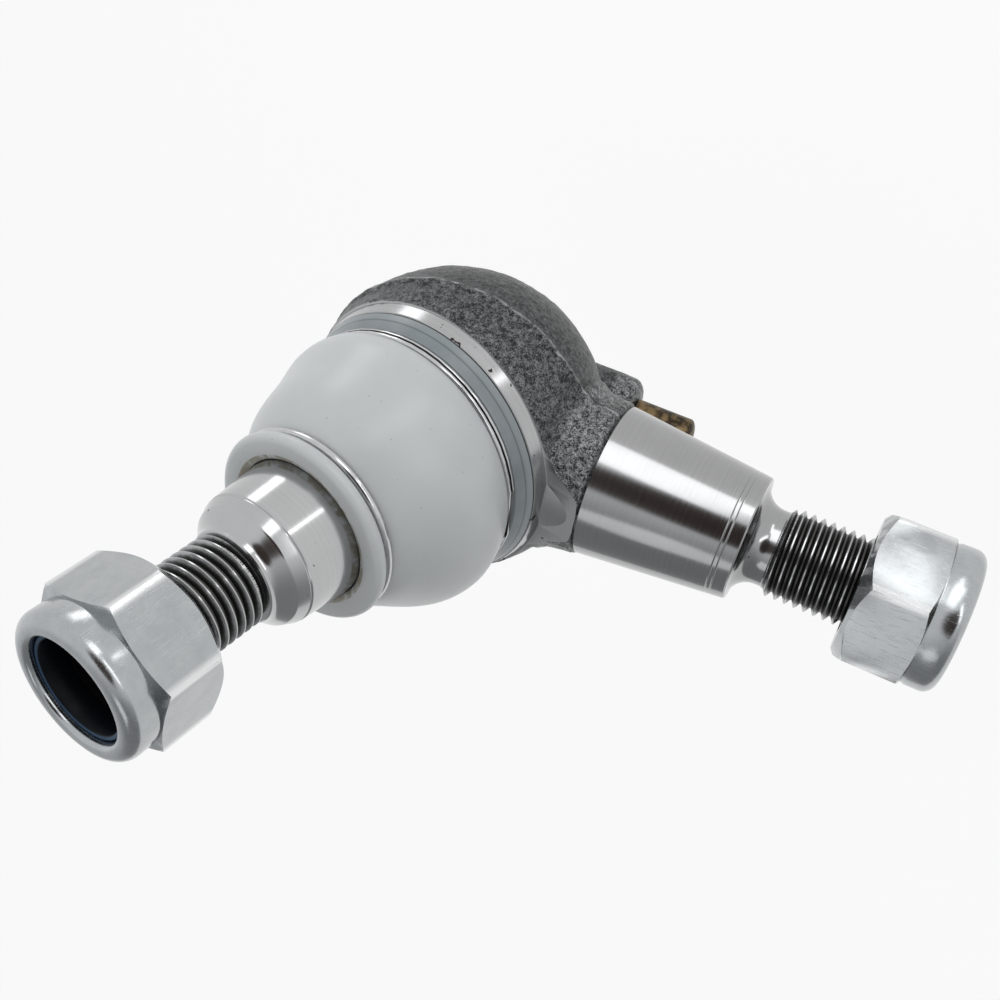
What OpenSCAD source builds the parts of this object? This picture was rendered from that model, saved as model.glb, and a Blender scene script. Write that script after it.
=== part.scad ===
// Suspension ball joint with a coned and threaded shank.
// The origin is the centre of the ball. +Z runs along the stud to its thread.
// The shank leaves the cup towards +X and slopes down from the XY plane.

/* [Ball, seat and closing ring] */
// Radius of the ball
ball_r = 14; // [13:0.1:15]
// Gap between the ball and its seat
ball_gap = 0.1; // [0.05:0.01:0.2]
// Wall of the plastic seat
seat_wall = 2.4; // [2:0.1:2.8]
// Gap round the seat and the closing ring in the cup
seat_gap = 0.02; // [0.01:0.01:0.05]
// Angle above the ball's middle up to which the seat holds the ball, in degrees
seat_edge_a = 36; // [33:1:38]
// Height of the seat above that edge
seat_lip_h = 1.3; // [1:0.1:2]
// Width by which the seat's mouth is wider than the closing ring's hole
seat_mouth_step = 0.5; // [0.3:0.1:0.7]
// Step in the cup that the closing ring lies on
closing_step = 0.98; // [0.7:0.02:1.3]
// Width of the closing ring
closing_w = 4.6; // [4.2:0.1:5]
// Thickness of the closing ring
closing_t = 2; // [1.5:0.1:2.5]
// Bevel round the closing ring's hole
closing_bevel = 0.8; // [0.4:0.1:1.2]

/* [Cup] */
// Wall of the collar round the closing ring
collar_wall = 1.48; // [1.2:0.02:1.8]
// Height of the collar that the boot sits on
collar_h = 4.2; // [3.8:0.1:4.8]
// Bevel on the collar's upper corner
collar_bevel = 0.6; // [0.3:0.1:0.9]
// Thickness of the edge that is rolled over the closing ring
roll_t = 2; // [1.5:0.1:2.4]
// Width of the edge that is rolled over the closing ring
roll_w = 2.3; // [1.8:0.1:2.8]
// Width of the ledge under the boot's lip
ledge_w = 3; // [2.6:0.1:3.4]
// Height of the turned band round the cup's mouth
rim_h = 2.2; // [1.8:0.1:2.6]
// Radius that the turned band loses towards the boot
rim_taper = 0.5; // [0.2:0.1:0.8]
// Width of the turned shoulder between the band and the forged cup
rim_step = 1.5; // [1:0.1:2]
// Width of the parting ridge that the forging dies leave
ridge_w = 1; // [0.6:0.1:2]
// Height of the parting ridge
ridge_h = 0.3; // [0.1:0.05:0.5]

/* [Shank] */
// Length of the shank from the centre of the ball to its end
shank_len = 77; // [70:0.5:90]
// Slope of the shank below a right angle to the stud, in degrees
shank_slope = 10; // [4:1:14]
// Length of the forged neck between the cup and the shank cone
neck_len = 2.5; // [2:0.25:6]
// Step from the forged neck down to the shank cone
neck_step = 0.4; // [0.3:0.1:1]
// Radius that the forged neck loses between the cup and the cone
neck_draft = 0.3; // [0.1:0.1:0.8]
// Fillet between the cup and the neck
neck_fillet = 1.6; // [0.8:0.2:3]
// Radius of the big end of the shank cone
cone_big_r = 12.1; // [11.4:0.1:13]
// Length of the shank cone
cone_len = 23.5; // [18:0.5:30]
// Diameter that the shank cone loses over its length, as 1 in this number
cone_ratio = 5; // [4:1:10]
// Bevel on the small end of the shank cone
cone_bevel = 0.2; // [0.1:0.05:0.5]
// Flat step between the bevel and the undercut's fillet
cone_land = 0.3; // [0.1:0.05:0.8]
// Depth of the undercut's floor below the root of the thread
relief_step = 0.13; // [0.05:0.01:0.4]
// Length of the undercut's floor
relief_len = 1.1; // [0.4:0.1:3]
// Distance of the shank's end below the top of its nut
shank_end_in = 5.1; // [2:0.1:7]

/* [Lug and pin] */
// Diameter of the locating pin
pin_d = 6; // [4:0.5:7]
// Width of the pin's shoulder on the lug's end face
pin_shoulder = 0.5; // [0.3:0.05:0.8]
// Gap between the pin's shoulder and the lug's end face
pin_lift = 0.1; // [0.06:0.02:0.3]
// Gap between the shank cone's big end and the pin
pin_clear = 2.7; // [2:0.1:4]
// Length of the pin that stands out of the lug
pin_out = 10.5; // [6:0.5:14]
// Length of the pin inside the lug
pin_in = 8; // [5:0.5:9]
// Height of the pin's domed end
pin_dome = 1.3; // [0.6:0.1:2]
// Gap round the pin in its hole
pin_gap = 0.02; // [0.01:0.01:0.05]
// Distance of the lug's end face behind the start of the shank cone
lug_set_back = 2.5; // [1.5:0.25:4]
// Wall of the lug round the pin
lug_wall = 3; // [2.5:0.1:3.6]
// Rounding of the lug's end
lug_round = 2; // [0.5:0.25:2.5]

/* [Stud] */
// Length of the stud from the centre of the ball to its end
stud_len = 70.4; // [64:0.4:82]
// Radius of the neck above the ball
stud_neck_r = 6.8; // [6:0.1:7]
// Length of the neck, from the top of the ball to the flare
stud_neck_len = 7.5; // [6:0.25:9]
// Fillet between the ball and the neck
stud_fillet = 2; // [1:0.25:3]
// Height of the flare between the neck and the cone
stud_flare_h = 6.9; // [5:0.1:8]
// Length of the stud's cone
stud_cone_len = 16.1; // [13:0.1:20]
// Radius of the small end of the stud's cone
stud_cone_r = 10.25; // [9.6:0.05:11]
// Diameter that the stud cone loses over its length, as 1 in this number
stud_cone_ratio = 6; // [5:1:10]
// Depth of the groove line at the small end of the cone
stud_groove = 0.25; // [0.1:0.05:0.4]
// Radius that the turned band loses towards the thread
stud_band_taper = 0.85; // [0.4:0.05:1.2]
// Length of the turned band
stud_band_len = 1.9; // [1.5:0.1:2.5]
// Length of the shoulder between the band and the thread
stud_shoulder_len = 3.6; // [3:0.2:5]
// Distance of the stud's end below the top of its nut
stud_end_in = 5.7; // [2:0.1:7]

/* [Threads and nuts] */
// Outer diameter of both threads
thread_d = 14; // [13:0.5:15]
// Depth of both threads
thread_depth = 0.92; // [0.8:0.02:1.1]
// Length over which a thread runs out towards its shoulder
thread_run_out = 1.3; // [0.8:0.1:2]
// Bevel on the free end of both threads
thread_bevel = 1; // [0.8:0.1:1.5]
// Gap between a thread and its nut
thread_gap = 0.06; // [0.04:0.01:0.1]
// Wall of both nuts from the thread to a flat
nut_wall = 4; // [3.6:0.1:5]
// Height of the hexagon of both nuts
nut_hex_h = 10.5; // [9:0.5:12]
// Whole height of both nuts
nut_h = 15.2; // [14.4:0.2:17]
// Step from the flats to the washer face
nut_washer_step = 0.75; // [0.3:0.05:1.2]
// Rise of the chamfer at the washer face, for each unit of radius
nut_low_slope = 0.76; // [0.4:0.02:1]
// Drop of the chamfer at the collar, for each unit of radius
nut_high_slope = 0.41; // [0.2:0.01:0.7]
// Rounding of the nuts' rolled collar
nut_collar_round = 1.9; // [1:0.1:2.4]
// Depth of the valley between the hexagon and the collar
nut_valley = 0.25; // [0.1:0.05:0.4]
// Thickness of the rolled lip over the nylon ring
nut_lip_t = 2.3; // [1.8:0.1:3]
// Gap between the thread and the rolled lip
nut_lip_gap = 0.9; // [0.7:0.05:1.2]
// Wall of the nylon ring outside the thread's radius
insert_wall = 2.3; // [2:0.1:2.6]
// Thickness of the nylon ring
insert_h = 2.7; // [2:0.1:3]
// Gap round the nylon ring in its pocket
insert_gap = 0.02; // [0.01:0.01:0.05]
// Turn of the shank nut's corners from the Y axis, in degrees
shank_nut_turn = 50; // [0:5:60]
// Turn of the stud nut's corners from the Y axis, in degrees
stud_nut_turn = 10; // [0:5:60]

/* [Boot] */
// Gap between the boot and the parts that it seals on
boot_gap = 0.12; // [0.1:0.01:0.2]
// Wall of the boot's bulb
boot_wall = 1.4; // [1:0.1:1.6]
// Wall of the boot under the large clamp
foot_wall = 0.6; // [0.4:0.05:0.8]
// Height of the large clamp's middle above the ledge
foot_h = 3.65; // [3.4:0.05:4]
// Distance of the lip's edge inside the edge of the ledge
lip_in = 0.2; // [0.1:0.05:0.5]
// Distance that the bulb stands out past the collar
bulb_out = 2.5; // [2.2:0.1:3.2]
// Height of the bulb's widest place above the collar
bulb_low = 4.4; // [4:0.1:5]
// Round of the bulb under its widest place
bulb_tuck = 1.3; // [1:0.1:1.6]
// Height of the bulb's top above the big end of the stud's cone
bulb_rise = 4.2; // [3.6:0.1:5]
// Wall of the boot between the stud's cone and the small clamp
boot_neck_wall = 1.92; // [1.6:0.04:2.4]
// Distance that the flange stands out past the small clamp
flange_out = 0.3; // [0.1:0.05:0.8]
// Height of the flange's front above the top of the bulb
flange_h = 3.8; // [3.2:0.1:4.4]
// Width of the dished ring inside the flange
flange_dish = 1.9; // [1.2:0.1:2.4]
// Length of the boot's bore below the small clamp
boot_bore_low = 2.6; // [2:0.1:3]
// Wire of the large clamp
wire_d = 0.85; // [0.7:0.05:0.95]
// Wire of the small clamp
small_wire_d = 1.3; // [1:0.05:1.35]

/* [Hidden] */
$fn = 96;
// How far a cutter runs past what it cuts
past = 1;

// Inside of the cup, from the ball outwards
seat_in_r = ball_r + ball_gap;
seat_out_r = seat_in_r + seat_wall;
cavity_r = seat_out_r + seat_gap;
closing_r = cavity_r + closing_step;
closing_hole_r = closing_r - closing_w;
seat_mouth_r = closing_hole_r + seat_mouth_step;
mouth_r = closing_r - roll_w;

// Heights of the cup, from the seat upwards
seat_z = seat_in_r * sin(seat_edge_a) + seat_lip_h;
closing_z = seat_z + seat_gap;
closing_top = closing_z + closing_t;
mouth_z = closing_top + roll_t;
rim_z = mouth_z - collar_h;
face_z = rim_z - rim_h;

// Outside of the cup
collar_r = closing_r + seat_gap + collar_wall;
rim_top_r = collar_r + ledge_w;
rim_r = rim_top_r + rim_taper;
cup_r = rim_r + rim_step;

// Threads and nuts
thread_r = thread_d / 2;
root_r = thread_r - thread_depth;
bore_r = thread_r + thread_gap;
flat_r = thread_r + nut_wall;
insert_r = thread_r + insert_wall;
nut_lip_r = thread_r + nut_lip_gap;
pocket_top = nut_h - nut_lip_t;
pocket_low = pocket_top - insert_h - insert_gap * 2;

// Stations along the shank, from the ball centre
neck_end_r = cone_big_r + neck_step;
neck_r = neck_end_r + neck_draft;
cone_start = cup_r + neck_len;
cone_end = cone_start + cone_len;
cone_small_r = cone_big_r - cone_len / cone_ratio / 2;
relief_r = root_r - relief_step;
relief_round = cone_small_r - cone_bevel - cone_land - relief_r;
relief_end = cone_end + relief_round + relief_len;
shank_nut_t = shank_len + shank_end_in - nut_h;

// Lug and pin
pin_offset = cone_big_r + pin_clear + pin_d / 2;
pin_root_r = pin_d / 2 - pin_shoulder;
lug_r = pin_d / 2 + lug_wall;
lug_end = cone_start - lug_set_back;
// Where the lug and its web begin inside the cup
lug_root = 4;

// Stations along the stud, from the ball centre
flare_z = ball_r + stud_neck_len;
stud_cone_z = flare_z + stud_flare_h;
stud_cone_end_z = stud_cone_z + stud_cone_len;
band_r = stud_cone_r - stud_band_taper;
band_end_z = stud_cone_end_z + stud_band_len;
stud_thread_start = band_end_z + stud_shoulder_len;
stud_nut_z = stud_len + stud_end_in - nut_h;

// Boot and its clamps
foot_r = collar_r + boot_gap;
groove_r = foot_r + foot_wall;
wire_r = groove_r + boot_gap + wire_d / 2;
wire_z = rim_z + foot_h;
groove_half = wire_d + boot_gap;
bulb_r = collar_r + bulb_out;
bulb_z = mouth_z + bulb_low;
bulb_top_z = stud_cone_z + bulb_rise;
small_groove_r = stud_cone(bulb_top_z) + boot_gap + boot_neck_wall;
small_groove_top = bulb_top_z + small_wire_d + boot_gap * 2;
small_wire_r = small_groove_r + boot_gap + small_wire_d / 2;
flange_r = small_wire_r + small_wire_d / 2 + flange_out;
flange_z = bulb_top_z + flange_h;

// Points of an arc about (cx, cy), from angle a to angle b
function arc(cx, cy, r, a, b, n = 10) = oval(cx, cy, r, r, a, b, n);

// Points of an ellipse about (cx, cy), from angle a to angle b
function oval(cx, cy, rx, ry, a, b, n = 12) =
    [for (i = [0:n]) let (t = a + (b - a) * i / n) [cx + rx * cos(t), cy + ry * sin(t)]];

// Radius of the stud's cone at height z
function stud_cone(z) = stud_cone_r + (stud_cone_end_z - z) / stud_cone_ratio / 2;

// Outline of a thread with its run-out and its bevelled end, from height a to height b
function thread_outline(a, b) = [[root_r, a], [thread_r, a + thread_run_out],
    [thread_r, b - thread_bevel], [thread_r - thread_bevel, b], [0, b]];

// Moves what stands on Z onto the shank's axis; +X then faces the closed side of the cup
module on_shank() rotate([0, 90 + shank_slope, 0]) children();

// The forged neck, turned cone, undercut and thread in one profile
module shank_solid() {
    fillet_x = neck_r + neck_fillet;
    fillet_y = sqrt(pow(cup_r + neck_fillet, 2) - pow(fillet_x, 2));
    fillet_a = 180 + atan2(fillet_y, fillet_x);
    round_r = relief_r + relief_round;
    rotate_extrude() polygon(concat(
        [[0, 0]],
        arc(fillet_x, fillet_y, neck_fillet, fillet_a, 180, 6),
        [[neck_end_r, cone_start - neck_step / 2], [cone_big_r, cone_start],
            [cone_small_r, cone_end - cone_bevel], [cone_small_r - cone_bevel, cone_end]],
        arc(round_r, cone_end + relief_round, relief_round, 270, 180),
        [[relief_r, relief_end - relief_step]],
        thread_outline(relief_end, shank_len)));
}

// Boss round the locating pin, rounded at its free end
module lug_solid() {
    translate([pin_offset, 0, 0]) rotate_extrude() polygon(concat(
        [[0, lug_root], [lug_r, lug_root]],
        arc(lug_r - lug_round, lug_end - lug_round, lug_round, 0, 90, 6),
        [[0, lug_end]]));
}

// Web that fills the corner between the boss, the neck and the cup
module lug_web() {
    web_w = lug_r * 1.7;
    translate([0, -web_w / 2, lug_root])
        cube([pin_offset - lug_r / 4, web_w, lug_end - lug_round - lug_root]);
}

// Thin plate in the plane where the forging dies met
module parting_ridge() {
    ridge_r = neck_end_r + ridge_h;
    ridge_end = cone_start - ridge_w;
    rotate([0, 90, 0]) translate([0, 0, -ridge_w / 2]) linear_extrude(ridge_w) union() {
        circle(cup_r + ridge_h);
        translate([-ridge_end, -ridge_r]) square([ridge_end, ridge_r * 2]);
    }
}

// What the lathe takes off round the mouth: shoulder, band and boot collar
module mouth_cut() {
    far = cup_r * 2;
    rotate_extrude() polygon([[rim_r, face_z], [far, face_z], [far, far], [0, far], [0, mouth_z],
        [collar_r - collar_bevel, mouth_z], [collar_r, mouth_z - collar_bevel], [collar_r, rim_z],
        [rim_top_r, rim_z], [rim_r, face_z + rim_taper]]);
}

// Space for the seat, the closing ring and the stud
module cup_cavity() {
    rotate_extrude() polygon(concat(
        arc(0, 0, cavity_r, -90, 0, 24),
        [[cavity_r, closing_z], [closing_r + seat_gap, closing_z],
            [closing_r + seat_gap, closing_top + seat_gap], [mouth_r, closing_top + seat_gap],
            [mouth_r + roll_t / 4, mouth_z + past], [0, mouth_z + past]]));
}

module housing() {
    color("#5c5e62") difference() {
        union() {
            sphere(cup_r);
            on_shank() {
                shank_solid();
                lug_solid();
                lug_web();
                parting_ridge();
            }
        }
        mouth_cut();
        cup_cavity();
        on_shank() translate([pin_offset, 0, lug_end - pin_in - pin_gap])
            cylinder(r = pin_root_r + pin_gap, h = pin_in + past);
    }
}

// The pin's root in the lug is thinner than its free end, which has a shoulder
module locating_pin() {
    bevel = pin_d / 12;
    color("#8a6a45") on_shank() translate([pin_offset, 0, lug_end - pin_in])
        rotate_extrude() polygon(concat(
            [[0, 0], [pin_root_r - bevel, 0], [pin_root_r, bevel], [pin_root_r, pin_in + pin_lift],
                [pin_d / 2, pin_in + pin_lift]],
            oval(0, pin_in + pin_out - pin_dome, pin_d / 2, pin_dome, 0, 90, 8)));
}

module ball_seat() {
    color("#e8e2d2") rotate_extrude() polygon(concat(
        arc(0, 0, seat_out_r, -90, 0, 24),
        [[seat_out_r, seat_z], [seat_mouth_r, seat_z]],
        arc(0, 0, seat_in_r, seat_edge_a, -90, 30)));
}

module closing_ring() {
    color("#9aa0a6") translate([0, 0, closing_z]) rotate_extrude() polygon([
        [closing_hole_r, 0], [closing_r, 0], [closing_r, closing_t],
        [closing_hole_r + closing_bevel, closing_t], [closing_hole_r, closing_t - closing_bevel]]);
}

module ball_stud() {
    fillet_x = stud_neck_r + stud_fillet;
    fillet_y = sqrt(pow(ball_r + stud_fillet, 2) - pow(fillet_x, 2));
    ball_a = atan2(fillet_y, fillet_x);
    cone_r = stud_cone(stud_cone_z);
    flare = (cone_r - stud_neck_r) * 0.9;
    shoulder = band_r - root_r;
    color("#c3c6c9") rotate_extrude() polygon(concat(
        arc(0, 0, ball_r, -90, ball_a, 30),
        arc(fillet_x, fillet_y, stud_fillet, 180 + ball_a, 180, 6),
        oval(stud_neck_r + flare, flare_z, flare, stud_flare_h * 0.8, 180, 90, 8),
        [[cone_r, stud_cone_z - stud_flare_h / 12], [cone_r, stud_cone_z],
            [stud_cone_r, stud_cone_end_z - stud_groove],
            [stud_cone_r - stud_groove, stud_cone_end_z],
            [stud_cone_r - stud_groove / 2, stud_cone_end_z + stud_groove], [band_r, band_end_z],
            [band_r - shoulder * 0.22, band_end_z + stud_shoulder_len * 0.42],
            [band_r - shoulder * 0.5, band_end_z + stud_shoulder_len * 0.7],
            [band_r - shoulder * 0.88, band_end_z + stud_shoulder_len * 0.92]],
        thread_outline(stud_thread_start, stud_len)));
}

// Bulb, lip and flange, thin walled, all round the stud
module dust_boot() {
    top_r = small_groove_r + boot_wall / 2;
    bulb_h = bulb_top_z - bulb_z;
    groove_top = wire_z + groove_half;
    fold_r = (flange_z - small_groove_top) / 2;
    dish_z = flange_z - fold_r / 2;
    bore_low = bulb_top_z - boot_bore_low;
    color("#e6e9e8") rotate_extrude() polygon(concat(
        [[rim_top_r - lip_in, rim_z + boot_gap], [wire_r + boot_gap, wire_z - groove_half],
            [groove_r, wire_z - groove_half], [groove_r, groove_top]],
        oval(bulb_r - bulb_tuck, bulb_z, bulb_tuck, bulb_z - groove_top, -90, -10, 8),
        oval(top_r, bulb_z, bulb_r - top_r, bulb_h, 0, 90, 20),
        [[small_groove_r, bulb_top_z], [small_groove_r, small_groove_top]],
        arc(flange_r - fold_r, flange_z - fold_r, fold_r, -90, 90, 12),
        [[stud_cone(flange_z) + flange_dish, flange_z],
            [stud_cone(flange_z) + flange_dish / 4, (flange_z + dish_z) / 2],
            [stud_cone(dish_z) + boot_gap, dish_z], [stud_cone(bore_low) + boot_gap, bore_low]],
        oval(top_r, bulb_z, bulb_r - boot_wall - top_r, bulb_h - boot_wall, 85, -12, 20),
        [[foot_r, mouth_z + boot_wall], [foot_r, rim_z + boot_gap]]));
}

// The clamp's wire goes round twice, and the two turns lie against each other
module boot_large_clamp() {
    step = wire_d * 0.94;
    color("#d5d8da") rotate_extrude() union() {
        for (s = [-1, 1]) translate([wire_r, wire_z + s * step / 2]) circle(d = wire_d, $fn = 24);
    }
}

module boot_small_clamp() {
    color("#d5d8da") rotate_extrude()
        translate([small_wire_r, bulb_top_z + boot_gap + small_wire_d / 2])
            circle(d = small_wire_d, $fn = 24);
}

// Hexagon with chamfered corners and a rolled collar that holds the nylon ring
module lock_nut() {
    corner_r = flat_r / cos(30);
    far_r = corner_r + past;
    washer_r = flat_r - nut_washer_step;
    edge_r = flat_r - nut_valley / 2;
    valley_r = flat_r - nut_valley;
    lip_bevel = (nut_lip_t - nut_valley) / 2;
    difference() {
        union() {
            intersection() {
                cylinder(r = corner_r, h = nut_hex_h, $fn = 6);
                rotate_extrude() polygon([[0, 0], [washer_r, 0],
                    [far_r, (far_r - washer_r) * nut_low_slope],
                    [far_r, nut_hex_h - (far_r - edge_r) * nut_high_slope],
                    [edge_r, nut_hex_h], [0, nut_hex_h]]);
            }
            rotate_extrude() polygon(concat(
                [[0, nut_hex_h - past], [valley_r, nut_hex_h - past],
                    [valley_r, nut_hex_h + nut_valley], [flat_r, nut_hex_h + nut_valley * 3]],
                arc(flat_r - nut_collar_round, nut_h - nut_collar_round, nut_collar_round, 0, 90, 8),
                [[nut_lip_r + lip_bevel / 2, nut_h - nut_valley],
                    [nut_lip_r, nut_h - lip_bevel], [0, nut_h - lip_bevel]]));
        }
        lock_nut_bore();
    }
}

// Countersink, bore and pocket for the nylon ring
module lock_nut_bore() {
    sink = thread_depth * 0.7;
    rotate_extrude() polygon([[0, -past], [bore_r + sink + past, -past], [bore_r + sink, 0],
        [bore_r, sink], [bore_r, pocket_low], [insert_r + insert_gap, pocket_low],
        [insert_r + insert_gap, pocket_top], [nut_lip_r, pocket_top], [nut_lip_r, nut_h + past],
        [0, nut_h + past]]);
}

// Nylon ring that grips the thread
module lock_nut_insert() {
    translate([0, 0, pocket_low + insert_gap]) difference() {
        cylinder(r = insert_r, h = insert_h);
        translate([0, 0, -past]) cylinder(r = bore_r, h = insert_h + past * 2);
    }
}

module on_stud_nut() translate([0, 0, stud_nut_z]) rotate([0, 0, 90 - stud_nut_turn]) children();

module on_shank_nut() on_shank() translate([0, 0, shank_nut_t])
    rotate([0, 0, 90 + shank_nut_turn]) children();

module stud_nut() color("#d9dcde") on_stud_nut() lock_nut();

module stud_nut_insert() color("#1d3354") on_stud_nut() lock_nut_insert();

module shank_nut() color("#d9dcde") on_shank_nut() lock_nut();

module shank_nut_insert() color("#1d3354") on_shank_nut() lock_nut_insert();

housing();
locating_pin();
ball_seat();
closing_ring();
dust_boot();
boot_large_clamp();
boot_small_clamp();
ball_stud();
stud_nut_insert();
stud_nut();
shank_nut_insert();
shank_nut();
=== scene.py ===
"""Looks of the suspension ball joint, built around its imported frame.

Pieces are modelled in millimetres in the frame of the part: the origin is the centre
of the ball and +Z runs along the stud. Each finished mesh is scaled to metres once, at
the origin.
"""

import logging
import math
from collections.abc import Iterable, Sequence
from dataclasses import dataclass
from enum import Enum
from itertools import pairwise

import bpy
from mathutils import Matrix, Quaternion, Vector

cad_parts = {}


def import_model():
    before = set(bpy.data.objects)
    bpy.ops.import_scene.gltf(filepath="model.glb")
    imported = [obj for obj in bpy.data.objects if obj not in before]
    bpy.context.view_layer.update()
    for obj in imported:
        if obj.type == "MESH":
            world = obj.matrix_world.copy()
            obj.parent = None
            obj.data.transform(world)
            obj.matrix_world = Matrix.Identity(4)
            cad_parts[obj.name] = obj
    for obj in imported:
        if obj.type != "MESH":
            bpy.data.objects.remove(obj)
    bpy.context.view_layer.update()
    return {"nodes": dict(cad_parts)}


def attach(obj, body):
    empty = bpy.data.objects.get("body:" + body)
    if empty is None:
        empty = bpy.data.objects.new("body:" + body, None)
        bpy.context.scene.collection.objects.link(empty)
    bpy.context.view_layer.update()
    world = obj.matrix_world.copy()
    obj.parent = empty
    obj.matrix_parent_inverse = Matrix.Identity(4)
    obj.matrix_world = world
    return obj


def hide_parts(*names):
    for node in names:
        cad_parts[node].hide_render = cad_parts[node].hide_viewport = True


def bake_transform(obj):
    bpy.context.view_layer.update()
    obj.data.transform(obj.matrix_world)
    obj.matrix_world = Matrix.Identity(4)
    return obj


LOG = logging.getLogger("ball_joint")
METRES_PER_MM = 0.001
MERGE_GAP = 1e-4
THREAD_ROOT_R = 6.08
THREAD_LAP = 1.2
FULL_TURN = 2 * math.pi
SHANK_SLOPE = math.radians(10)
PIN_OFFSET = 17.8
STUD_CONE_R = 10.25
STUD_CONE_END_Z = 44.5
Point = tuple[float, float]
Profile = tuple[Point, ...]
Color = tuple[float, float, float, float]


def oval(
    middle: Point,
    radii: Point,
    start: float,
    end: float,
    steps: int = 10,
    fullness: float = 1.0,
) -> list[Point]:
    """Lays points along an ellipse in the half plane of a turned profile.

    Args:
        middle: Radius and height of the ellipse's centre, in mm.
        radii: The ellipse's two radii, across and along the axis, in mm.
        start: First angle, in degrees.
        end: Last angle, in degrees.
        steps: Number of stretches between the two angles.
        fullness: 1 for a true ellipse, more than 1 for flatter shoulders.

    Returns:
        The points, as pairs of radius and height.
    """
    points = []
    for i in range(steps + 1):
        turn = math.radians(start + (end - start) * i / steps)
        across, along = (
            math.copysign(abs(part) ** fullness, part)
            for part in (math.cos(turn), math.sin(turn))
        )
        points.append((middle[0] + radii[0] * across, middle[1] + radii[1] * along))
    return points


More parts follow.
